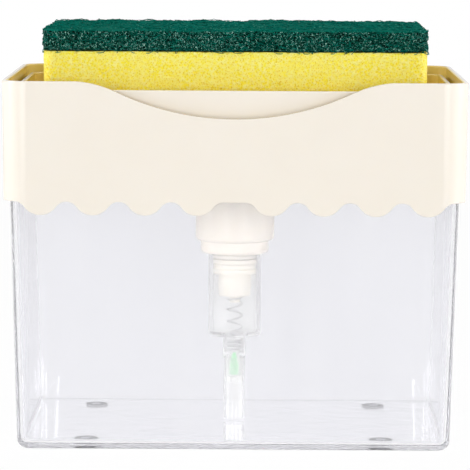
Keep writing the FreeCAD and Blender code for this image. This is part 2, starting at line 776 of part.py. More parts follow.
def make_return_spring():
    """The return spring: one wire swept along a helix whose pitch opens in the middle."""
    wire = value("spring_wire")
    radius = (value("spring_outer") - wire) / 2
    margin = wire / 2 + value("spring_end_gap")
    low, high = value("spring_foot") + margin, value("spring_head") - margin
    turns = value("spring_foot_turns + spring_open_turns + spring_head_turns")
    start_turn = value("spring_start_turn")
    steps = round(turns * 4)

    def point(turn):
        angle = 2 * math.pi * (turn + start_turn)
        return FreeCAD.Vector(radius * math.cos(angle), radius * math.sin(angle),
                              spring_height(turn, low, high))

    def way(turn):
        nudge = 1e-5
        return (point(turn + nudge) - point(turn - nudge)).normalize()

    stops = [turns * step / steps for step in range(steps + 1)]
    edges = []
    for here, there in zip(stops, stops[1:]):
        edges += [arc.toShape() for arc in biarc(point(here), way(here), point(there), way(there))]
    path = Part.Wire(edges)
    section = Part.Wire(Part.Circle(point(0), way(0), wire / 2).toShape())
    spring = doc.addObject("Part::Feature", "return_spring")
    spring.Label = "return_spring"
    spring.Shape = path.makePipeShell([section], True, False)
    spring.Placement = FreeCAD.Placement()

    samples = [turns * step / (steps * 6) for step in range(steps * 6 + 1)]
    places = [point(turn) for turn in samples]
    far_apart = [(a - b).Length for i, a in enumerate(places) for j, b in enumerate(places)
                 if samples[j] - samples[i] > 0.5]
    gap = min(far_apart) - wire
    print(f"return_spring: least gap between turns {gap:.2f} mm, wire length {path.Length:.1f} mm,"
          f" volume ratio {spring.Shape.Volume / (path.Length * math.pi * wire ** 2 / 4):.3f}")
    if gap <= SPRING_LEAST_GAP:
        raise RuntimeError("return_spring: its turns come too close")
    return spring


pieces = [
    make_container(),
    make_foot_pads(),
    make_collar_tray(),
    make_press_tray(),
    make_sponge_layer("sponge_foam", "sponge_rest", "foam_height"),
    make_sponge_layer("scour_pad", "sponge_rest + foam_height", "scour_height"),
    make_closure_nut(),
    make_neck_gasket(),
    make_pump_housing(),
    make_guide_bush(),
    make_dip_tube(),
    make_stem(),
    make_piston(),
    make_piston_rod(),
    make_return_spring(),
    make_inlet_valve(),
    make_outlet_ball(),
]
doc.recompute()

for item in doc.Objects:
    if "Invalid" in item.State or "Error" in item.State:
        raise RuntimeError(f"{item.Label} failed: {item.State}")
for piece in pieces:
    if piece.Shape.isNull() or not piece.Shape.isValid() or not piece.Shape.Solids:
        raise RuntimeError(f"{piece.Label} has no valid solid")

os.makedirs("parts", exist_ok=True)
for piece in pieces:
    box = piece.Shape.BoundBox
    piece.Shape.exportStep(f"parts/{piece.Label}.step")
    print(f"{piece.Label}: {len(piece.Shape.Solids)} solid, {piece.Shape.Volume / 1000:.2f} cm3,"
          f" {box.XLength:.2f} x {box.YLength:.2f} x {box.ZLength:.2f} mm from z {box.ZMin:.2f}")
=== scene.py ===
"""Looks of the soap pump caddy: a finish for every piece, the two-layer sponge, the spring and the studio.

Metres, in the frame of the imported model: +Z up, the front towards -Y, the worktop at z 0.
"""
from __future__ import annotations

import logging
import math
import random
from collections.abc import Callable
from dataclasses import dataclass, field
from enum import Enum

import bpy
from mathutils import Matrix, Vector, noise


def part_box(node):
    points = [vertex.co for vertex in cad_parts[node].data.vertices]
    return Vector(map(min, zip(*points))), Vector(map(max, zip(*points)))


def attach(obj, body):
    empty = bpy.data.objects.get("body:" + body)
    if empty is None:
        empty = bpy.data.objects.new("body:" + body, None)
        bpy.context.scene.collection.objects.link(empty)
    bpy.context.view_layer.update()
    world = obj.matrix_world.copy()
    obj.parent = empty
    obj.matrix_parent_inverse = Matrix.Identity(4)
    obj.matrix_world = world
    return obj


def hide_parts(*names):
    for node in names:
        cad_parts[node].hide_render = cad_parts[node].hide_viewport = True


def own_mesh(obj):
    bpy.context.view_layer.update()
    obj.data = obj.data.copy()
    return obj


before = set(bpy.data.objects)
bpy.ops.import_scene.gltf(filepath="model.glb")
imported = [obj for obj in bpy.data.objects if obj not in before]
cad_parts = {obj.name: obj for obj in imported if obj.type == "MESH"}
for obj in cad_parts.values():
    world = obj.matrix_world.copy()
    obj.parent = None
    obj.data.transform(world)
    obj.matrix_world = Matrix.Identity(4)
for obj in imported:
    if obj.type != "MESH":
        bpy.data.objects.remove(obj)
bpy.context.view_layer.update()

MM = 0.001
PICTURE_PIXELS = 470
NEARLY_UPRIGHT = 0.05  # the sine of a tube's lean from upright, under which a level way across is unsure
log = logging.getLogger("soap_pump_caddy")

Tree = bpy.types.NodeTree
Socket = bpy.types.NodeSocket


def linear(hex_colour: str) -> tuple[float, float, float, float]:
    """Turn an sRGB hex colour to linear RGBA.

    Args:
        hex_colour: The colour as "#RRGGBB".

    Returns:
        Red, green and blue in linear light, and an alpha of 1.
    """
    shares = (int(hex_colour[start : start + 2], 16) / 255 for start in (1, 3, 5))
    red, green, blue = (
        share / 12.92 if share <= 0.04045 else ((share + 0.055) / 1.055) ** 2.4 for share in shares
    )
    return (red, green, blue, 1.0)


def per_metre(size_mm: float) -> float:
    """The texture scale that repeats a pattern about every size_mm millimetres."""
    return 1.0 / (size_mm * MM)


def add_node(
    tree: Tree, kind: str, inputs: dict[str | int, object] | None = None, **settings: object
) -> bpy.types.Node:
    """Add one node to a tree, with its settings and its links.

    Args:
        tree: The tree that takes the node.
        kind: Blender's name for the node's type.
        inputs: For each input, by name or number: a plain value, an output socket to link, or a node
            whose first output is linked.
        settings: The node's own properties.

    Returns:
        The new node.
    """
    node = tree.nodes.new(kind)
    for name, setting in settings.items():
        setattr(node, name, setting)
    for name, given in (inputs or {}).items():
        if isinstance(given, bpy.types.Node):
            given = given.outputs[0]
        if isinstance(given, Socket):
            tree.links.new(given, node.inputs[name])
        else:
            node.inputs[name].default_value = given
    return node


@dataclass(frozen=True)
class Finish:
    """A material with a real name; each kind of finish draws its own surface."""

    name: str

    def make(self) -> bpy.types.Material:
        """Make the material.

        Returns:
            The material, with its node tree wired.
        """
        material = bpy.data.materials.new(self.name)
        material.use_nodes = True
        tree = material.node_tree
        tree.nodes.clear()
        place = add_node(tree, "ShaderNodeTexCoord").outputs["Object"]
        add_node(tree, "ShaderNodeOutputMaterial", {"Surface": self.surface(tree, place)})
        return material

    def surface(self, tree: Tree, place: Socket) -> Socket:
        """Draw the surface.

        Args:
            tree: The material's node tree.
            place: The socket that gives the place on the piece, in metres.

        Returns:
            The shader's output socket.
        """
        raise NotImplementedError


@dataclass(frozen=True)
class MouldedPlastic(Finish):
    """Opaque plastic from a polished mould: an even colour that clouds a little along the melt's flow.

    The eye sees a soft gloss, a faint grain where the mould was spark-eroded, and edges that catch light.
    """

    colour: str
    cloud: str
    roughness: float
    ior: float
    flow_mm: float = 16.0
    grain_mm: float = 0.5
    grain_depth_mm: float = 0.006
    edge_mm: float = 0.25
    gloss_spread: float = 0.06
    glow: float = 0.0
    glow_mm: tuple[float, float, float] = (1.2, 1.0, 0.7)

    def surface(self, tree: Tree, place: Socket) -> Socket:
        """Draw the clouded colour, the grain and the softened edges; see Finish.surface."""
        grain = add_node(
            tree, "ShaderNodeTexNoise", {"Vector": place, "Scale": per_metre(self.grain_mm), "Detail": 3.0}
        )
        gloss = add_node(
            tree, "ShaderNodeMapRange",
            {
                "Value": grain,
                "To Min": self.roughness - self.gloss_spread, "To Max": self.roughness + self.gloss_spread,
            },
        )
        edge = add_node(tree, "ShaderNodeBevel", {"Radius": self.edge_mm * MM}, samples=4)
        bump = add_node(
            tree, "ShaderNodeBump",
            {"Height": grain, "Distance": self.grain_depth_mm * MM, "Normal": edge},
        )
        return add_node(
            tree, "ShaderNodeBsdfPrincipled",
            {
                "Base Color": self.base_colour(tree, place), "Roughness": gloss, "IOR": self.ior,
                "Subsurface Weight": self.glow, "Subsurface Radius": self.glow_mm, "Subsurface Scale": MM,
                "Normal": bump,
            },
        ).outputs[0]

    def base_colour(self, tree: Tree, place: Socket) -> Socket:
        """Draw the colour with its faint clouds.

        Args:
            tree: The material's node tree.
            place: The socket that gives the place on the piece, in metres.

        Returns:
            The colour's socket.
        """
        flow = add_node(
            tree, "ShaderNodeTexNoise", {"Vector": place, "Scale": per_metre(self.flow_mm), "Detail": 2.0}
        )
        return add_node(
            tree, "ShaderNodeMix",
            {0: flow, 6: linear(self.colour), 7: linear(self.cloud)}, data_type="RGBA",
        ).outputs[2]


@dataclass(frozen=True)
class WellPlasticPaintedBounce(MouldedPlastic):
    """Moulded plastic whose walls round the sponge carry painted bounce light: the yellow that the lit foam
    throws into the narrow well.

    The eye sees that painted yellow inside the well, deepest at its foot, and the plain colour from the rim
    outwards.
    """

    # The well's yellow is painted bounce light from the foam, not a colour of the plastic.
    bounce_gold: str = "#F8D75C"
    corner_x_mm: float = 60.0
    corner_y_mm: float = 40.0
    reach_mm: float = 6.4
    foot_mm: float = 79.5
    rim_mm: float = 108.7
    soft_mm: float = 0.2
    foot_bounce_share: float = 0.95
    rim_bounce_share: float = 0.85

    def base_colour(self, tree: Tree, place: Socket) -> Socket:
        """Draw the plain colour, with the painted yellow bounce light inside the well; see
        MouldedPlastic.base_colour.
        """
        plain = super().base_colour(tree, place)
        # The way past the middles of the well's round corners is one radius long all along its wall.
        corners = (self.corner_x_mm * MM, self.corner_y_mm * MM, 0.0)
        reach = add_node(tree, "ShaderNodeVectorMath", {0: place}, operation="ABSOLUTE")
        way = add_node(tree, "ShaderNodeVectorMath", {0: reach, 1: corners}, operation="SUBTRACT")
        past = add_node(tree, "ShaderNodeVectorMath", {0: way, 1: (0, 0, 0)}, operation="MAXIMUM")
        level = add_node(tree, "ShaderNodeVectorMath", {0: past, 1: (1, 1, 0)}, operation="MULTIPLY")
        outward = add_node(tree, "ShaderNodeVectorMath", {0: level}, operation="LENGTH")
        inside = add_node(
            tree, "ShaderNodeMapRange",
            {
                "Value": outward.outputs["Value"], "To Min": 1.0, "To Max": 0.0,
                "From Min": (self.reach_mm - self.soft_mm) * MM,
                "From Max": (self.reach_mm + self.soft_mm) * MM,
            },
        )
        height = add_node(tree, "ShaderNodeSeparateXYZ", {0: place}).outputs["Z"]
        above = add_node(
            tree, "ShaderNodeMapRange",
            {
                "Value": height,
                "From Min": self.foot_mm * MM, "From Max": (self.foot_mm + self.soft_mm) * MM,
            },
        )
        depth = add_node(
            tree, "ShaderNodeMapRange",
            {
                "Value": height, "From Min": self.foot_mm * MM, "From Max": self.rim_mm * MM,
                "To Min": self.foot_bounce_share, "To Max": self.rim_bounce_share,
            },
        )
        # Painted bounce light: the foam's yellow, strongest at the well's foot and a little weaker towards
        # the rim.
        within = add_node(tree, "ShaderNodeMath", {0: inside, 1: above}, operation="MULTIPLY")
        painted_bounce_share = add_node(tree, "ShaderNodeMath", {0: within, 1: depth}, operation="MULTIPLY")
        return add_node(
            tree, "ShaderNodeMix", {0: painted_bounce_share, 6: plain, 7: linear(self.bounce_gold)}, data_type="RGBA"
        ).outputs[2]


@dataclass(frozen=True)
class ClearPlastic(Finish):
    """Clear or milky plastic: light passes, bends and is tinted a little by each wall.

    The eye sees the wall's two faces, a haze where it looks along an upright one, and faint waves that the
    melt's flow left up the walls. Rays from lamps pass straight through, so that what is inside is lit.
    """

    tint: str
    cloud: str
    clear: float
    edge_clear: float
    roughness: float
    ior: float
    flow_mm: float = 8.0
    flow_draw: float = 0.1
    wave_mm: float = 0.03
    haze_mm: float = 3.0
    haze_slant: float = 0.5
    upright_rise: float = 0.8
    level_rise: float = 0.98
    gloss_spread: float = 0.4

    def surface(self, tree: Tree, place: Socket) -> Socket:
        """Draw the tinted wall with its flow lines, which run up it; see Finish.surface."""
        drawn = add_node(
            tree, "ShaderNodeVectorMath", {0: place, 1: (1.0, 1.0, self.flow_draw)}, operation="MULTIPLY"
        )
        flow = add_node(
            tree, "ShaderNodeTexNoise", {"Vector": drawn, "Scale": per_metre(self.flow_mm), "Detail": 2.0}
        )
        haze = add_node(
            tree, "ShaderNodeTexNoise", {"Vector": place, "Scale": per_metre(self.haze_mm), "Detail": 2.0}
        )
        tint = add_node(
            tree, "ShaderNodeMix",
            {0: flow, 6: linear(self.tint), 7: linear(self.cloud)}, data_type="RGBA",
        )
        gloss = add_node(
            tree, "ShaderNodeMapRange",
            {
                "Value": haze,
                "To Min": self.roughness * (1.0 - self.gloss_spread),
                "To Max": self.roughness * (1.0 + self.gloss_spread),
            },
        )
        bump = add_node(tree, "ShaderNodeBump", {"Height": flow, "Distance": self.wave_mm * MM})
        normal = add_node(tree, "ShaderNodeNewGeometry").outputs["Normal"]
        rise = add_node(tree, "ShaderNodeSeparateXYZ", {0: normal}).outputs["Z"]
        level = add_node(tree, "ShaderNodeMath", {0: rise}, operation="ABSOLUTE")
        upright = add_node(
            tree, "ShaderNodeMapRange",
            {
                "Value": level, "From Min": self.upright_rise, "From Max": self.level_rise,
                "To Min": 1.0, "To Max": 0.0,
            },
        )
        slant = add_node(tree, "ShaderNodeLayerWeight").outputs["Facing"]
        along = add_node(tree, "ShaderNodeMath", {0: slant, 1: upright}, operation="MULTIPLY")
        clear = add_node(
            tree, "ShaderNodeMapRange",
            {
                "Value": along, "From Min": self.haze_slant,
                "To Min": self.clear, "To Max": self.edge_clear,
            },
        )
        wall = add_node(
            tree, "ShaderNodeBsdfPrincipled",
            {
                "Base Color": tint.outputs[2], "Roughness": gloss, "IOR": self.ior,
                "Transmission Weight": clear, "Normal": bump,
            },
        )
        through = add_node(tree, "ShaderNodeBsdfTransparent", {"Color": linear(self.tint)})
        path = add_node(tree, "ShaderNodeLightPath")
        return add_node(
            tree, "ShaderNodeMixShader", {0: path.outputs["Is Shadow Ray"], 1: wall, 2: through}
        ).outputs[0]


@dataclass(frozen=True)
class MouldedRubber(Finish):
    """Soft rubber from a mould: dull, slightly dusty and finely pitted."""

    colour: str
    dust: str
    roughness: float = 0.78
    gloss_spread: float = 0.1
    ior: float = 1.52
    dust_mm: float = 2.5
    pit_mm: float = 0.35
    pit_depth_mm: float = 0.015

    def surface(self, tree: Tree, place: Socket) -> Socket:
        """Draw the dusty colour and the pits; see Finish.surface."""
        pits = add_node(
            tree, "ShaderNodeTexNoise", {"Vector": place, "Scale": per_metre(self.pit_mm), "Detail": 2.0}
        )
        gloss = add_node(
            tree, "ShaderNodeMapRange",
            {
                "Value": pits,
                "To Min": self.roughness - self.gloss_spread, "To Max": self.roughness + self.gloss_spread,
            },
        )
        bump = add_node(tree, "ShaderNodeBump", {"Height": pits, "Distance": self.pit_depth_mm * MM})
        return add_node(
            tree, "ShaderNodeBsdfPrincipled",
            {
                "Base Color": self.base_colour(tree, place), "Roughness": gloss, "IOR": self.ior,
                "Normal": bump,
            },
        ).outputs[0]

    def base_colour(self, tree: Tree, place: Socket) -> Socket:
        """Draw the dusty colour.

        Args:
            tree: The material's node tree.
            place: The socket that gives the place on the piece, in metres.

        Returns:
            The colour's socket.
        """
        dust = add_node(
            tree, "ShaderNodeTexNoise", {"Vector": place, "Scale": per_metre(self.dust_mm), "Detail": 3.0}
        )
        return add_node(
            tree, "ShaderNodeMix",
            {0: dust, 6: linear(self.colour), 7: linear(self.dust)}, data_type="RGBA",
        ).outputs[2]


@dataclass(frozen=True)
class DishedRubber(MouldedRubber):
    """Rubber pads dished in the middle: through the clear floor the ring round each dish looks darker than
    its pale middle, which is painted light, not the rubber's own colour.
    """

    # The dish colour is painted light, not the rubber's own colour.
    dish: str = "#E6E6EA"
    dish_mm: float = 3.2
    soft_inner_mm: float = 0.2
    soft_outer_mm: float = 0.4
    middle_x_mm: float = 43.48
    middle_y_mm: float = 30.98

    def base_colour(self, tree: Tree, place: Socket) -> Socket:
        """Draw the dusty ring and the pale dish, which is painted light; see MouldedRubber.base_colour."""
        ring = super().base_colour(tree, place)
        reach = add_node(tree, "ShaderNodeVectorMath", {0: place}, operation="ABSOLUTE")
        middle = (self.middle_x_mm * MM, self.middle_y_mm * MM, 0.0)
        apart = add_node(tree, "ShaderNodeVectorMath", {0: reach, 1: middle}, operation="DISTANCE")
        ring_share = add_node(
            tree, "ShaderNodeMapRange",
            {
                "Value": apart.outputs["Value"],
                "From Min": (self.dish_mm / 2 - self.soft_inner_mm) * MM,
                "From Max": (self.dish_mm / 2 + self.soft_outer_mm) * MM,
            },
        )
        return add_node(
            tree, "ShaderNodeMix", {0: ring_share, 6: linear(self.dish), 7: ring}, data_type="RGBA"
        ).outputs[2]


@dataclass(frozen=True)
class DrawnSteel(Finish):
    """Stainless steel drawn to wire or ground to a ball: grey, bright, with fine marks from the die."""

    colour: str
    worn: str
    roughness: float
    smoother: float = 0.07
    rougher: float = 0.1
    mark_mm: float = 0.25
    mark_depth_mm: float = 0.004

    def surface(self, tree: Tree, place: Socket) -> Socket:
        """Draw the bright metal with its die marks; see Finish.surface."""
        marks = add_node(
            tree, "ShaderNodeTexNoise", {"Vector": place, "Scale": per_metre(self.mark_mm), "Detail": 2.0}
        )
        colour = add_node(
            tree, "ShaderNodeMix",
            {0: marks, 6: linear(self.colour), 7: linear(self.worn)}, data_type="RGBA",
        )
        gloss = add_node(
            tree, "ShaderNodeMapRange",
            {
                "Value": marks,
                "To Min": self.roughness - self.smoother, "To Max": self.roughness + self.rougher,
            },
        )
        bump = add_node(tree, "ShaderNodeBump", {"Height": marks, "Distance": self.mark_depth_mm * MM})
        return add_node(
            tree, "ShaderNodeBsdfPrincipled",
            {
                "Base Color": colour.outputs[2], "Roughness": gloss, "Metallic": 1.0,
                "Normal": bump,
            },
        ).outputs[0]


@dataclass(frozen=True)
class OpenFoam(Finish):
    """Open-cell polyurethane foam, sawn from a block: cut cells show as darker pores between paler struts;
    the pore colour is painted shade and the struts' colour painted light, over a little real relief.

    Real cells are about half a millimetre; they are drawn coarser, so that they show in the render.
    """

    strut_painted_light: str
    body: str
    pore: str
    patch: str
    cell_mm: float = 0.85
    fleck_mm: float = 0.42
    patch_mm: float = 5.0
    cell_depth_mm: float = 0.35
    cell_relief: float = 0.6
    strut_painted_light_range: tuple[float, float] = (0.25, 0.75)
    pore_painted_shade_range: tuple[float, float] = (0.54, 0.66)
    patch_range: tuple[float, float] = (0.42, 0.66)
    patch_most: float = 0.7
    gloss_range: tuple[float, float] = (0.85, 1.0)
    ior: float = 1.5
    shine: float = 0.2
    glow: float = 0.25
    glow_mm: tuple[float, float, float] = (1.6, 1.2, 0.3)

    def surface(self, tree: Tree, place: Socket) -> Socket:
        """Draw the painted shade of the pores, the painted light of the struts and the paler patches; see
        Finish.surface.
        """
        cells = add_node(tree, "ShaderNodeTexVoronoi", {"Vector": place, "Scale": per_metre(self.cell_mm)})
        flecks = add_node(
            tree, "ShaderNodeTexNoise", {"Vector": place, "Scale": per_metre(self.fleck_mm), "Detail": 2.0}
        )
        patches = add_node(
            tree, "ShaderNodeTexNoise", {"Vector": place, "Scale": per_metre(self.patch_mm), "Detail": 3.0}
        )
        colour: object = linear(self.body)
        # Painted light and shade: paler struts at the cells' edges, and darker pore specks.
        for pattern, (start, end), most, tone in (
            (cells.outputs["Distance"], self.strut_painted_light_range, 1.0, self.strut_painted_light),
            (patches, self.patch_range, self.patch_most, self.patch),
            (flecks, self.pore_painted_shade_range, 1.0, self.pore),
        ):
            share = add_node(
                tree, "ShaderNodeMapRange",
                {"Value": pattern, "From Min": start, "From Max": end, "To Max": most},
            )
            colour = add_node(
                tree, "ShaderNodeMix", {0: share, 6: colour, 7: linear(tone)}, data_type="RGBA"
            ).outputs[2]
        bump = add_node(
            tree, "ShaderNodeBump",
            {
                "Height": cells.outputs["Distance"], "Distance": self.cell_depth_mm * MM,
                "Strength": self.cell_relief,
            },
        )
        smoothest, roughest = self.gloss_range
        gloss = add_node(
            tree, "ShaderNodeMapRange", {"Value": flecks, "To Min": smoothest, "To Max": roughest}
        )
        return add_node(
            tree, "ShaderNodeBsdfPrincipled",
            {
                "Base Color": colour, "Roughness": gloss, "IOR": self.ior,
                "Specular IOR Level": self.shine, "Subsurface Weight": self.glow,
                "Subsurface Radius": self.glow_mm, "Subsurface Scale": MM, "Normal": bump,
            },
        ).outputs[0]


@dataclass(frozen=True)
class ScourFibre(Finish):
    """Nylon fibre bonded with resin and grit: a tangle with paler strands, whose deep gaps are painted in
    their shade, more of them on the sides than on the top.

    Real fibres are about a tenth of a millimetre; they are drawn coarser, so that they show in the render.
    """

    # Painted shade: the colour of the gaps in the tangle.
    painted_gap_shade: str
    body: str
    worn: str
    pale: str
    strand_mm: float = 0.42
    strand_depth_mm: float = 0.3
    crimp: float = 1.4
    clump_mm: float = 2.0
    side_shade_rise: tuple[float, float] = (0.35, 0.9)
    gap_levels: tuple[float, float] = (0.54, 0.32)
    gap_range: tuple[float, float] = (-0.08, 0.06)
    cut_rise: tuple[float, float] = (0.3, 0.8)
    end_range: tuple[float, float] = (0.6, 0.67)
    end_most: float = 0.85
    gloss_range: tuple[float, float] = (0.95, 0.6)
    ior: float = 1.53
    shine: float = 0.03

    def surface(self, tree: Tree, place: Socket) -> Socket:
        """Draw the tangle, with painted shade in its gaps and pale fibre ends mostly on the cut sides; see
        Finish.surface.
        """
        clumps = add_node(
            tree, "ShaderNodeTexNoise", {"Vector": place, "Scale": per_metre(self.clump_mm), "Detail": 4.0}
        )
        tangle = add_node(
            tree, "ShaderNodeTexNoise",
            {"Vector": place, "Scale": per_metre(self.strand_mm), "Detail": 3.0, "Distortion": self.crimp},
        )
        normal = add_node(tree, "ShaderNodeNewGeometry").outputs["Normal"]
        rise = add_node(tree, "ShaderNodeSeparateXYZ", {0: normal}).outputs["Z"]
        # Painted shade: the gaps take the near-black gap colour, and the sides take more of them than the
        # top, which paints the sides darker.
        (side_shade_from, side_shade_to), (side_level, top_level) = self.side_shade_rise, self.gap_levels
        gap_level = add_node(
            tree, "ShaderNodeMapRange",
            {
                "Value": rise, "From Min": side_shade_from, "From Max": side_shade_to,
                "To Min": side_level, "To Max": top_level,
            },
        )
        above = add_node(tree, "ShaderNodeMath", {0: tangle, 1: gap_level}, operation="SUBTRACT")
        gap_from, gap_to = self.gap_range
        fibre_share = add_node(
            tree, "ShaderNodeMapRange", {"Value": above, "From Min": gap_from, "From Max": gap_to}
        )
        cut_from, cut_to = self.cut_rise
        cut_share = add_node(
            tree, "ShaderNodeMapRange",
            {
                "Value": rise, "From Min": cut_from, "From Max": cut_to,
                "To Min": self.end_most, "To Max": 0.0,
            },
        )
        end_from, end_to = self.end_range
        ends = add_node(
            tree, "ShaderNodeMapRange", {"Value": tangle, "From Min": end_from, "From Max": end_to}
        )
        end_share = add_node(tree, "ShaderNodeMath", {0: ends, 1: cut_share}, operation="MULTIPLY")
        clumped = add_node(
            tree, "ShaderNodeMix",
            {0: clumps, 6: linear(self.body), 7: linear(self.worn)}, data_type="RGBA",
        )
        mass = add_node(
            tree, "ShaderNodeMix",
            {0: fibre_share, 6: linear(self.painted_gap_shade), 7: clumped.outputs[2]}, data_type="RGBA",
        )
        colour = add_node(
            tree, "ShaderNodeMix",
            {0: end_share, 6: mass.outputs[2], 7: linear(self.pale)}, data_type="RGBA",
        )
        gap_gloss, fibre_gloss = self.gloss_range
        gloss = add_node(
            tree, "ShaderNodeMapRange", {"Value": tangle, "To Min": gap_gloss, "To Max": fibre_gloss}
        )
        bump = add_node(tree, "ShaderNodeBump", {"Height": tangle, "Distance": self.strand_depth_mm * MM})
        return add_node(
            tree, "ShaderNodeBsdfPrincipled",
            {
                "Base Color": colour.outputs[2], "Roughness": gloss, "IOR": self.ior,
                "Specular IOR Level": self.shine, "Normal": bump,
            },
        ).outputs[0]


@dataclass(frozen=True)
class PaperSweep(Finish):
    """The studio's white paper: white to the eye, and it keeps the soft shadow of what stands on it."""

    colour: str
    own_light: float
    fibre_mm: float = 8.0
    gloss_range: tuple[float, float] = (0.85, 1.0)

    def surface(self, tree: Tree, place: Socket) -> Socket:
        """Draw the paper, with some of its white given to rays that see it; see Finish.surface."""
        fibre = add_node(
            tree, "ShaderNodeTexNoise", {"Vector": place, "Scale": per_metre(self.fibre_mm), "Detail": 3.0}
        )
        smoothest, roughest = self.gloss_range
        gloss = add_node(
            tree, "ShaderNodeMapRange", {"Value": fibre, "To Min": smoothest, "To Max": roughest}
        )
        paper = add_node(
            tree, "ShaderNodeBsdfPrincipled",
            {"Base Color": linear(self.colour), "Roughness": gloss, "Specular IOR Level": 0.0},
        )
        white = add_node(tree, "ShaderNodeEmission", {"Color": (1.0, 1.0, 1.0, 1.0), "Strength": 1.0})
        seen = rays_that_see(tree)
        share = add_node(tree, "ShaderNodeMath", {0: seen, 1: self.own_light}, operation="MULTIPLY")
        return add_node(tree, "ShaderNodeMixShader", {0: share, 1: paper, 2: white}).outputs[0]


def rays_that_see(tree: Tree) -> Socket:
    """Tell the rays that show the background from those that light a surface.

    Args:
        tree: The tree that takes the nodes.

    Returns:
        A socket that is 1 for camera, glossy and transmission rays before they light a dull surface.
    """
    path = add_node(tree, "ShaderNodeLightPath")
    direct = add_node(
        tree, "ShaderNodeMath",
        {0: path.outputs["Is Camera Ray"], 1: path.outputs["Is Glossy Ray"]}, operation="MAXIMUM",
    )
    seeing = add_node(
        tree, "ShaderNodeMath", {0: direct, 1: path.outputs["Is Transmission Ray"]}, operation="MAXIMUM"
    )
    # The depth counts whole steps, and is 0 until a dull surface has scattered the ray.
    unscattered = add_node(
        tree, "ShaderNodeMath", {0: path.outputs["Diffuse Depth"], 1: 0.5}, operation="LESS_THAN"
    )
    return add_node(tree, "ShaderNodeMath", {0: seeing, 1: unscattered}, operation="MULTIPLY").outputs[0]


class Finishes(Enum):
    """The caddy's materials, each named for what it is and how it was made."""

    CLEAR_TUB = ClearPlastic(
        "polystyrene_clear_moulded", tint="#F8F8FA", cloud="#F4F4F7", clear=0.95, edge_clear=0.3,
        roughness=0.02, ior=1.58,
    )
    CREAM = MouldedPlastic(
        "abs_cream_moulded", colour="#F5EEE3", cloud="#F2EADD", roughness=0.2, ior=1.53, glow=0.08,
    )
    # The nut's cream is painted lighter than the collar's. This is painted light, standing in for the light
    # that the collar's deck keeps off it.
    NUT_PAINTED_LIGHT = MouldedPlastic(
        "abs_cream_moulded_nut_painted_light", colour="#FCF5E9", cloud="#F9F1E3", roughness=0.2, ior=1.53, glow=0.08,
    )
    # The well and dish finishes carry painted bounce light from the foam inside the well.
    WELL = WellPlasticPaintedBounce(
        "abs_cream_moulded_well_painted_bounce", colour="#F5EEE3", cloud="#F2EADD", roughness=0.2, ior=1.53, glow=0.08,
    )
    DISH = WellPlasticPaintedBounce(
        "abs_cream_moulded_dish_painted_bounce", colour="#F5EEE3", cloud="#F2EADD", roughness=0.2, ior=1.53, glow=0.08,
        reach_mm=3.9, foot_mm=94.0, rim_mm=106.1,
    )
    PISTON = MouldedPlastic(
        "polyethylene_cream_moulded", colour="#F8F2E6", cloud="#F3ECDD", roughness=0.45, ior=1.51,
        glow=0.15,
    )
    NATURAL = ClearPlastic(
        "polypropylene_natural_moulded", tint="#FDFDFC", cloud="#FBFBF9", clear=0.84, edge_clear=0.4,
        roughness=0.14, ior=1.49, flow_mm=7.0, wave_mm=0.01,
    )
    TUBE = ClearPlastic(
        "polyethylene_natural_drawn", tint="#FDFDFC", cloud="#F9F9F7", clear=0.88, edge_clear=0.7,
        roughness=0.12, ior=1.51, flow_mm=5.0, wave_mm=0.01,
    )
    GREEN = MouldedPlastic(
        "polypropylene_green_moulded", colour="#8CDCA0", cloud="#78CC8E", roughness=0.4, ior=1.49,
        glow=0.2,
    )
    PAD_RUBBER = DishedRubber("rubber_grey_moulded", colour="#161618", dust="#202023")
    GASKET = MouldedRubber("rubber_pale_stamped", colour="#E3E2DC", dust="#D7D6CF", roughness=0.7)
    SPRING = DrawnSteel("stainless_wire_drawn", colour="#D0D0D2", worn="#B4B4B8", roughness=0.3)
    BALL = DrawnSteel("stainless_ball_ground", colour="#C6C6C8", worn="#B2B2B6", roughness=0.16)
    # The foam's pore colour is painted shade and the struts' colour painted light.
    FOAM = OpenFoam(
        "polyurethane_foam_yellow_sawn", strut_painted_light="#FFF794", body="#FFEF3C", pore="#EFD32E", patch="#FFF47A",
    )
    # The gap colour of the scour finishes is painted shade.
    SCOUR = ScourFibre(
        "nylon_scour_green_bonded", painted_gap_shade="#000A07", body="#005E4E", worn="#007A68", pale="#B4E0D5",
    )
    STRAND = ScourFibre(
        "nylon_strand_green_crimped", painted_gap_shade="#00493D", body="#007263", worn="#00806F", pale="#6FB5A5",
        strand_mm=1.5, clump_mm=2.5,
    )
    PAPER = PaperSweep("paper_white_sweep", colour="#FFFFFF", own_light=0.96)


class FinishBook:
    """Makes each finish once and gives it to the pieces that share it."""

    def __init__(self) -> None:
        """Start with no finish made."""
        self._made: dict[Finishes, bpy.types.Material] = {}

    def material(self, finish: Finishes) -> bpy.types.Material:
        """Find or make a finish's material.

        Args:
            finish: Which finish.

        Returns:
            Its material.
        """
        if finish not in self._made:
            self._made[finish] = finish.value.make()
        return self._made[finish]

    def dress_node(self, node_name: str, finish: Finishes) -> None:
        """Give a CAD node its finish.

        Args:
            node_name: The node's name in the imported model.
            finish: Which finish.
        """
        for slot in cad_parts[node_name].material_slots:
            slot.material = self.material(finish)
        log.info("%s: %s", node_name, finish.value.name)

    def add_piece(self, name: str, shape: MeshLists, finish: Finishes) -> bpy.types.Object:
        """Make a new piece from lists of points and faces, and dress it.

        Args:
            name: The piece's name.
            shape: Its points and faces.
            finish: Which finish.

        Returns:
            The new object, in the scene.
        """
        mesh = bpy.data.meshes.new(name)
        mesh.from_pydata(shape.points, [], shape.faces)
        mesh.update()
        mesh.polygons.foreach_set("use_smooth", [True] * len(mesh.polygons))
        mesh.materials.append(self.material(finish))
        piece = bpy.data.objects.new(name, mesh)
        bpy.context.scene.collection.objects.link(piece)
        log.info("%s: %d faces, %s", name, len(mesh.polygons), finish.value.name)
        return piece


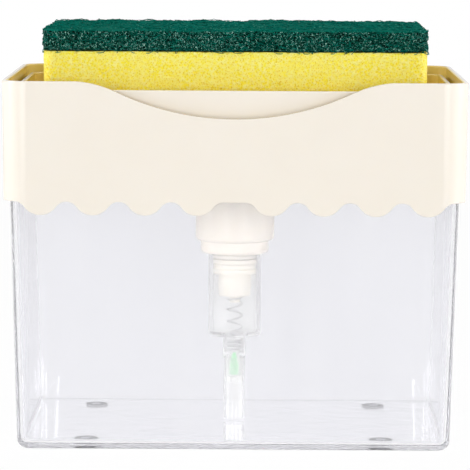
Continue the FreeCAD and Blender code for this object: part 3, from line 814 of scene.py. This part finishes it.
@dataclass
class MeshLists:
    """Points and faces of a mesh while it is being made."""

    points: list[Vector] = field(default_factory=list)
    faces: list[tuple[int, ...]] = field(default_factory=list)

    def add_tube(self, path: list[Vector], radius: float, sides: int) -> None:
        """Add a closed round tube along a path.

        Args:
            path: The points that the tube follows.
            radius: The tube's radius.
            sides: How many sides its section has.
        """
        first = len(self.points)
        last = len(path) - 1
        for step, here in enumerate(path):
            way = (path[min(step + 1, last)] - path[max(step - 1, 0)]).normalized()
            across = way.cross(Vector((0.0, 0.0, 1.0)))
            if across.length < NEARLY_UPRIGHT:
                across = way.cross(Vector((1.0, 0.0, 0.0)))
            across.normalize()
            upward = across.cross(way)
            for side in range(sides):
                angle = 2 * math.pi * side / sides
                self.points.append(here + (across * math.cos(angle) + upward * math.sin(angle)) * radius)
        for step in range(last):
            low = first + step * sides
            for side in range(sides):
                turn = (side + 1) % sides
                self.faces.append((low + side, low + side + sides, low + turn + sides, low + turn))
        self.faces.append(tuple(range(first, first + sides)))
        end = first + last * sides
        self.faces.append(tuple(range(end + sides - 1, end - 1, -1)))


@dataclass(frozen=True)
class Slab:
    """A flat block with round corners in plan and rounded top and bottom edges, on an even grid."""

    low: Vector
    high: Vector
    corner: float
    foot_round: float
    head_round: float
    step: float
    arc_steps: int = 3
    least_corner: float = 0.1 * MM

    def plan(self, across: float, along: float, inset: float) -> tuple[float, float]:
        """Place a grid point in plan.

        Args:
            across: Share of the half width, from -1 to 1.
            along: Share of the half depth, from -1 to 1.
            inset: How far the outline is drawn in at this height.

        Returns:
            The point's x and y.
        """
        half_x = (self.high.x - self.low.x) / 2 - inset
        half_y = (self.high.y - self.low.y) / 2 - inset
        corner = max(self.corner - inset, self.least_corner)
        x, y = abs(across) * half_x, abs(along) * half_y
        past_x, past_y = x - (half_x - corner), y - (half_y - corner)
        if past_x > 0 and past_y > 0:
            shrink = max(past_x, past_y) / math.hypot(past_x, past_y)
            x = half_x - corner + past_x * shrink
            y = half_y - corner + past_y * shrink
        middle = (self.low + self.high) / 2
        return middle.x + math.copysign(x, across), middle.y + math.copysign(y, along)

    def levels(self) -> list[tuple[float, float]]:
        """List the rings of the side wall.

        Returns:
            Height and inset of each ring, from the foot up.
        """
        quarter = [math.pi / 2 * step / self.arc_steps for step in range(self.arc_steps + 1)]
        foot = [
            (self.low.z + self.foot_round * (1 - math.sin(turn)), self.foot_round * (1 - math.cos(turn)))
            for turn in reversed(quarter)
        ]
        head = [
            (self.high.z - self.head_round * (1 - math.sin(turn)), self.head_round * (1 - math.cos(turn)))
            for turn in quarter
        ]
        bottom, top = foot[-1][0], head[0][0]
        rows = max(round((top - bottom) / self.step), 1)
        wall = [(bottom + (top - bottom) * row / rows, 0.0) for row in range(1, rows)]
        return foot + wall + head

    def build(self, relief: Callable[[Vector, Vector], float]) -> MeshLists:
        """Make the slab and push its side and top grid out by a relief.

        Args:
            relief: Gives how far out a point stands, from its place and the way out.

        Returns:
            The slab's points and faces, closed.
        """
        columns = round((self.high.x - self.low.x) / self.step)
        rows = round((self.high.y - self.low.y) / self.step)
        rim = [(i, 0) for i in range(columns)] + [(columns, j) for j in range(rows)]
        rim += [(columns - i, rows) for i in range(columns)] + [(0, rows - j) for j in range(rows)]
        shape = MeshLists()
        levels = self.levels()
        for height, inset in levels:
            tilt = self._tilt(height)
            for i, j in rim:
                x, y = self.plan(2 * i / columns - 1, 2 * j / rows - 1, inset)
                inner_x, inner_y = self.plan(2 * i / columns - 1, 2 * j / rows - 1, inset + self.corner / 2)
                out = Vector((x - inner_x, y - inner_y, 0.0)).normalized() * math.cos(tilt)
                out.z = math.sin(tilt)
                place = Vector((x, y, height))
                shape.points.append(place + out * relief(place, out))
        around = len(rim)
        for level in range(len(levels) - 1):
            base = level * around
            for here in range(around):
                there = (here + 1) % around
                shape.faces.append((base + here, base + there, base + around + there, base + around + here))
        shape.faces.append(tuple(range(around - 1, -1, -1)))

        top_ring = (len(levels) - 1) * around
        index = {spot: top_ring + count for count, spot in enumerate(rim)}
        up = Vector((0.0, 0.0, 1.0))
        for i in range(1, columns):
            for j in range(1, rows):
                x, y = self.plan(2 * i / columns - 1, 2 * j / rows - 1, self.head_round)
                place = Vector((x, y, self.high.z))
                index[i, j] = len(shape.points)
                shape.points.append(place + up * relief(place, up))
        for i in range(columns):
            for j in range(rows):
                shape.faces.append((index[i, j], index[i + 1, j], index[i + 1, j + 1], index[i, j + 1]))
        return shape

    def _tilt(self, height: float) -> float:
        """Find how far the way out leans up.

        Args:
            height: The height on the side wall.

        Returns:
            The lean in radians, below zero near the foot.
        """
        above = (height - (self.high.z - self.head_round)) / self.head_round
        below = (self.low.z + self.foot_round - height) / self.foot_round
        return math.asin(min(max(above, 0.0), 1.0)) - math.asin(min(max(below, 0.0), 1.0))


@dataclass(frozen=True)
class PadStrands:
    """Loose crimped fibres that lie over the scouring pad's top and sides.

    A strand curls one way, wavers at each stride and arches up between its ends, which root in the felt.
    Those on the sides run flatter, and may hang a little below the pad's foot.
    """

    low: Vector
    high: Vector
    relief: Callable[[Vector, Vector], float]
    top_count: int = 700
    top_steps: int = 9
    side_count: int = 1300
    side_steps: int = 3
    side_drop_mm: float = 0.3
    side_spread: float = 0.6
    radius_mm: float = 0.11
    radius_shares: tuple[float, float] = (0.7, 1.2)
    stride_mm: tuple[float, float] = (0.7, 1.25)
    curl: float = 0.5
    waver: float = 0.35
    arch_mm: float = 0.32
    root_mm: float = 0.12
    hang_mm: float = 0.6
    tube_sides: int = 3
    seed: int = 41

    def build(self) -> MeshLists:
        """Lay all the strands, first on the top and then round the sides.

        Returns:
            Their points and faces.
        """
        dice = random.Random(self.seed)
        low, high = self.low, self.high
        drop = self.side_drop_mm * MM
        shape = MeshLists()
        for _ in range(self.top_count):
            start = Vector((dice.uniform(low.x, high.x), dice.uniform(low.y, high.y), high.z))
            ways = Vector((1, 0, 0)), Vector((0, 1, 0))
            self._add_strand(shape, dice, start, ways, self.top_steps)
        for _ in range(self.side_count):
            run = dice.uniform(0, 2 * (high.x - low.x) + 2 * (high.y - low.y))
            height = dice.uniform(low.z - drop, high.z - drop)
            start, along = self._edge_spot(run)
            start.z = height
            ways = along, Vector((0, 0, self.side_spread))
            self._add_strand(shape, dice, start, ways, self.side_steps)
        return shape

    def _edge_spot(self, run: float) -> tuple[Vector, Vector]:
        """Find a spot on the pad's outline.

        Args:
            run: How far round the outline the spot is, from the front left corner.

        Returns:
            The spot, at z 0, and the way along the edge there.
        """
        low, high = self.low, self.high
        wide, deep = high.x - low.x, high.y - low.y
        if run < wide:
            return Vector((low.x + run, low.y, 0)), Vector((1, 0, 0))
        if run < wide + deep:
            return Vector((high.x, low.y + run - wide, 0)), Vector((0, 1, 0))
        if run < 2 * wide + deep:
            return Vector((high.x - (run - wide - deep), high.y, 0)), Vector((-1, 0, 0))
        return Vector((low.x, high.y - (run - 2 * wide - deep), 0)), Vector((0, -1, 0))

    def _add_strand(
        self, shape: MeshLists, dice: random.Random, start: Vector, ways: tuple[Vector, Vector], steps: int
    ) -> None:
        """Add one strand that wanders over a face of the pad.

        Args:
            shape: The lists that take the strand.
            dice: The seeded source of its wandering.
            start: Where on the face it begins.
            ways: Two ways along the face, the second shorter where the face is narrow.
            steps: How many strides it takes.
        """
        low, high = self.low, self.high
        along, across = ways
        out = along.cross(across).normalized()
        if across.z > 0 and (start - (low + high) / 2).dot(out) < 0:
            out.negate()
        heading = dice.uniform(0, 2 * math.pi)
        turn = dice.uniform(-self.curl, self.curl)
        stride = dice.uniform(*self.stride_mm) * MM
        radius = self.radius_mm * MM * dice.uniform(*self.radius_shares)
        path = []
        here = start.copy()
        for step in range(steps + 1):
            arch = math.sin(math.pi * step / steps)
            lift = self.relief(here, out) + (self.arch_mm * arch - self.root_mm) * MM
            path.append(here + out * lift)
            heading += turn + dice.uniform(-self.waver, self.waver)
            here = here + (along * math.cos(heading) + across * math.sin(heading)) * stride
            here.x = min(max(here.x, low.x), high.x)
            here.y = min(max(here.y, low.y), high.y)
            here.z = min(max(here.z, low.z - self.hang_mm * MM), high.z)
        shape.add_tube(path, radius, self.tube_sides)


@dataclass
class Sponge:
    """The sponge on the press tray: a block of open foam with a scouring pad bonded on top."""

    book: FinishBook
    corner_mm: float = 3.0
    grid_mm: float = 0.75
    foam_foot_mm: float = 0.8
    foam_head_mm: float = 0.25
    pore_mm: float = 1.1
    pore_reach: float = 0.55
    pore_depth_mm: float = 0.35
    sway_mm: float = 14.0
    sway_depth_mm: float = 0.3
    pad_foot_mm: float = 0.3
    pad_head_mm: float = 0.7
    clump_mm: float = 5.0
    clump_height_mm: float = 0.35
    tuft_mm: float = 1.3
    tuft_height_mm: float = 0.3
    tuft_layers: int = 2
    layer_fall: float = 1.0
    layer_scale: float = 2.0
    felt_sink_mm: float = 0.15

    def build(self) -> None:
        """Build both layers and the pad's loose strands, and set them on the sponge's body."""
        foam = self._foam()
        pad = self._pad()
        strands = self._strands()
        for piece in (foam, pad, strands):
            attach(piece, "sponge")
        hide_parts("sponge_foam")
        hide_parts("scour_pad")

    def _slab(self, node_name: str, foot_round_mm: float, head_round_mm: float) -> Slab:
        """Fit a slab to a layer's CAD solid.

        Args:
            node_name: The layer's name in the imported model.
            foot_round_mm: The radius of its lower edge.
            head_round_mm: The radius of its upper edge.

        Returns:
            The slab.
        """
        low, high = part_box(node_name)
        return Slab(
            Vector(low), Vector(high), self.corner_mm * MM, foot_round_mm * MM, head_round_mm * MM,
            self.grid_mm * MM,
        )

    def _foam(self) -> bpy.types.Object:
        """Build the foam block, pitted by its cut cells."""
        slab = self._slab("sponge_foam", self.foam_foot_mm, self.foam_head_mm)
        return self.book.add_piece("sponge_foam_block", slab.build(self._pore_relief), Finishes.FOAM)

    def _pore_relief(self, place: Vector, out: Vector) -> float:
        """Give the foam's skin its pores, which only ever go inward.

        Args:
            place: A point of the plain slab.
            out: The way out there; not used.

        Returns:
            How far the skin stands out.
        """
        near = noise.voronoi(place / (self.pore_mm * MM))[0][0]
        pore = max(1.0 - near / self.pore_reach, 0.0)
        sway = 0.5 + 0.5 * noise.noise(place / (self.sway_mm * MM))
        return -(pore * self.pore_depth_mm + sway * self.sway_depth_mm) * MM

    def _pad(self) -> bpy.types.Object:
        """Build the scouring pad, lumpy all over and ragged along its edges."""
        slab = self._slab("scour_pad", self.pad_foot_mm, self.pad_head_mm)
        return self.book.add_piece("scour_pad_felt", slab.build(self._tuft_relief), Finishes.SCOUR)

    def _tuft_relief(self, place: Vector, out: Vector) -> float:
        """Give the pad's felt its clumps and tufts.

        Args:
            place: A point of the plain slab.
            out: The way out there; not used.

        Returns:
            How far the felt stands out.
        """
        clump = noise.noise(place / (self.clump_mm * MM)) * self.clump_height_mm
        spot = place / (self.tuft_mm * MM)
        tuft = noise.fractal(spot, self.layer_fall, self.layer_scale, self.tuft_layers)
        return (clump + tuft * self.tuft_height_mm - self.felt_sink_mm) * MM

    def _strands(self) -> bpy.types.Object:
        """Build the loose strands that lie on the pad's felt, as one piece."""
        low, high = (Vector(corner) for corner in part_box("scour_pad"))
        shape = PadStrands(low, high, self._tuft_relief).build()
        return self.book.add_piece("scour_pad_strands", shape, Finishes.STRAND)


@dataclass
class ReturnSpring:
    """The pump's return spring: one wire, wound close at both ends and open between them."""

    book: FinishBook
    outer_mm: float = 5.1
    wire_mm: float = 0.6
    foot_turns: float = 2.5
    open_turns: float = 3.5
    head_turns: float = 1.0
    ease_turns: float = 0.6
    start_turn: float = 0.32
    close_pitch_mm: float = 1.2
    end_gap_mm: float = 0.02
    stroke_mm: float = 10.0
    foot_mm: float = 24.05
    head_mm: float = 41.35
    steps_per_turn: int = 28
    wire_sides: int = 10

    def build(self) -> None:
        """Wind the wire and seat it in the pump."""
        turns = self.foot_turns + self.open_turns + self.head_turns
        count = round(turns * self.steps_per_turn)
        path = [self._point(turns * step / count) for step in range(count + 1)]
        shape = MeshLists()
        shape.add_tube(path, self.wire_mm / 2 * MM, self.wire_sides)
        spring = self.book.add_piece("return_spring_wire", shape, Finishes.SPRING)
        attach(spring, "collar")
        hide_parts("return_spring")
        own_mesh(spring)

    def _point(self, turn: float) -> Vector:
        """Find the middle of the wire.

        Args:
            turn: How many turns have been wound, from the foot.

        Returns:
            The point, in metres.
        """
        margin = self.wire_mm / 2 + self.end_gap_mm
        low, high = self.foot_mm + margin, self.head_mm - margin
        turns = self.foot_turns + self.open_turns + self.head_turns
        spare = high - low - self.close_pitch_mm * turns
        open_end = self.foot_turns + self.open_turns
        opened = self._eased(turn - self.foot_turns) - self._eased(turn - open_end)
        height = low + self.close_pitch_mm * turn + spare * opened / self.open_turns
        radius = (self.outer_mm - self.wire_mm) / 2
        angle = 2 * math.pi * (turn + self.start_turn)
        return Vector((radius * math.cos(angle), radius * math.sin(angle), height)) * MM

    def _eased(self, turn: float) -> float:
        """Ease a change of pitch.

        Args:
            turn: The turns past the change, below zero before it.

        Returns:
            The turns wound at the new pitch.
        """
        share = min(max(turn / self.ease_turns + 0.5, 0.0), 1.0)
        wave = math.sin(math.pi * share) / (2 * math.pi)
        return max(turn - self.ease_turns / 2, 0.0) + self.ease_turns * (share / 2 - wave)


@dataclass
class Tub:
    """The clear tub that holds the soap, on its four rubber pads."""

    book: FinishBook

    def dress(self) -> None:
        """Give the tub and its pads their finishes."""
        self.book.dress_node("container", Finishes.CLEAR_TUB)
        self.book.dress_node("foot_pads", Finishes.PAD_RUBBER)


@dataclass
class CollarAndTray:
    """The cream collar with its scalloped skirt, and the press tray in its well."""

    book: FinishBook

    def dress(self) -> None:
        """Give the collar and the tray their finishes."""
        self.book.dress_node("collar_tray", Finishes.WELL)
        self.book.dress_node("press_tray", Finishes.DISH)


@dataclass
class Pump:
    """The pump under the collar's deck: its nut, cylinder, plunger, valves and suction tube."""

    book: FinishBook

    def dress(self) -> None:
        """Give each of the pump's pieces its finish."""
        for node_name, finish in (
            ("closure_nut", Finishes.NUT_PAINTED_LIGHT),
            ("neck_gasket", Finishes.GASKET),
            ("pump_housing", Finishes.NATURAL),
            ("guide_bush", Finishes.CREAM),
            ("dip_tube", Finishes.TUBE),
            ("stem", Finishes.CREAM),
            ("piston", Finishes.PISTON),
            ("piston_rod", Finishes.PISTON),
            ("inlet_valve", Finishes.GREEN),
            ("outlet_ball", Finishes.BALL),
        ):
            self.book.dress_node(node_name, finish)


@dataclass(frozen=True)
class SoftBoxPair:
    """Two white lamps with soft oblong faces, one on each side, that point at the caddy."""

    name: str
    right_place: tuple[float, float, float]
    width: float
    height: float
    watts: float
    aim: tuple[float, float, float] = (0.0, 0.0, 0.06)

    def build(self) -> None:
        """Hang both lamps."""
        right, back, up = self.right_place
        for side, place in (("left", Vector((-right, back, up))), ("right", Vector((right, back, up)))):
            lamp = bpy.data.lights.new(f"{self.name}_{side}", "AREA")
            lamp.shape = "RECTANGLE"
            lamp.size = self.width
            lamp.size_y = self.height
            lamp.energy = self.watts
            holder = bpy.data.objects.new(lamp.name, lamp)
            holder.location = place
            holder.rotation_euler = (Vector(self.aim) - place).to_track_quat("-Z", "Y").to_euler()
            bpy.context.scene.collection.objects.link(holder)
            log.info("%s: %.1f W", lamp.name, self.watts)


@dataclass
class Studio:
    """White paper, a dim room and three pairs of soft lamps.

    The low lamps reach in under the collar to the pump, and the high ones light the foam and the well.
    """

    book: FinishBook
    paper_half: float = 1.6
    room_strength: float = 0.24
    light_bounces: int = 48
    lamps: tuple[SoftBoxPair, ...] = (
        SoftBoxPair("softbox_front", (0.55, -1.3, 0.2), width=0.35, height=0.35, watts=3.9),
        SoftBoxPair("softbox_side", (1.1, -0.2, 0.2), width=0.4, height=0.3, watts=2.6),
        SoftBoxPair("softbox_high", (0.85, -0.1, 0.75), width=0.4, height=0.4, watts=4.4),
    )

    def build(self) -> None:
        """Set up the paper, the sky, the lamps and the way the picture is shown."""
        scene = bpy.context.scene
        scene.view_settings.view_transform = "Standard"
        # Light is thrown about inside the clear walls many times before it comes out of their edges.
        scene.cycles.max_bounces = self.light_bounces
        scene.cycles.glossy_bounces = self.light_bounces
        scene.cycles.transmission_bounces = self.light_bounces
        half = self.paper_half
        shape = MeshLists(
            [Vector((x, y, 0.0)) for x, y in ((-half, -half), (half, -half), (half, half), (-half, half))],
            [(0, 1, 2, 3)],
        )
        self.book.add_piece("paper_floor", shape, Finishes.PAPER)
        self._sky()
        for pair in self.lamps:
            pair.build()

    def _sky(self) -> None:
        """Give the room a little light from all round, and a white look to the rays that see it."""
        world = bpy.data.worlds.new("studio_sky")
        world.use_nodes = True
        tree = world.node_tree
        tree.nodes.clear()
        light = add_node(
            tree, "ShaderNodeBackground", {"Color": (1, 1, 1, 1), "Strength": self.room_strength}
        )
        white = add_node(tree, "ShaderNodeBackground", {"Color": (1, 1, 1, 1), "Strength": 1.0})
        both = add_node(tree, "ShaderNodeMixShader", {0: rays_that_see(tree), 1: light, 2: white})
        add_node(tree, "ShaderNodeOutputWorld", {"Surface": both})
        bpy.context.scene.world = world


@dataclass
class PhotoCamera:
    """The camera at the photograph's place and angle, found by fitting the caddy's edges to it."""

    place_mm: tuple[float, float, float] = (4.93, -944.57, 163.35)
    pan_degrees: float = -0.299
    tilt_degrees: float = 6.275
    roll_degrees: float = 0.316
    focal_pixels: float = 3131.7
    sensor_mm: float = 36.0
    nearest: float = 0.01
    farthest: float = 200.0

    def build(self) -> None:
        """Make the camera and hand it to the scene."""
        pan = math.radians(self.pan_degrees)
        tilt = math.radians(self.tilt_degrees)
        roll = math.radians(self.roll_degrees)
        ahead = Vector((math.sin(pan) * math.cos(tilt), math.cos(pan) * math.cos(tilt), -math.sin(tilt)))
        level = Vector((math.cos(pan), -math.sin(pan), 0.0))
        upright = level.cross(ahead)
        right = level * math.cos(roll) + upright * math.sin(roll)
        up = upright * math.cos(roll) - level * math.sin(roll)
        lens = bpy.data.cameras.new("photo_camera")
        lens.sensor_width = self.sensor_mm
        lens.lens = self.focal_pixels / PICTURE_PIXELS * self.sensor_mm
        lens.clip_start = self.nearest
        lens.clip_end = self.farthest
        camera = bpy.data.objects.new("photo_camera", lens)
        turned = Matrix((right, up, -ahead)).transposed().to_4x4()
        camera.matrix_world = Matrix.Translation(Vector(self.place_mm) * MM) @ turned
        bpy.context.scene.collection.objects.link(camera)
        bpy.context.scene.camera = camera


def main() -> None:
    """Dress the caddy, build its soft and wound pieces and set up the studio."""
    logging.basicConfig(level=logging.INFO, format="%(message)s")
    book = FinishBook()
    PhotoCamera().build()
    Studio(book).build()
    Tub(book).dress()
    CollarAndTray(book).dress()
    Pump(book).dress()
    ReturnSpring(book).build()
    Sponge(book).build()


if __name__ == "__main__":
    main()
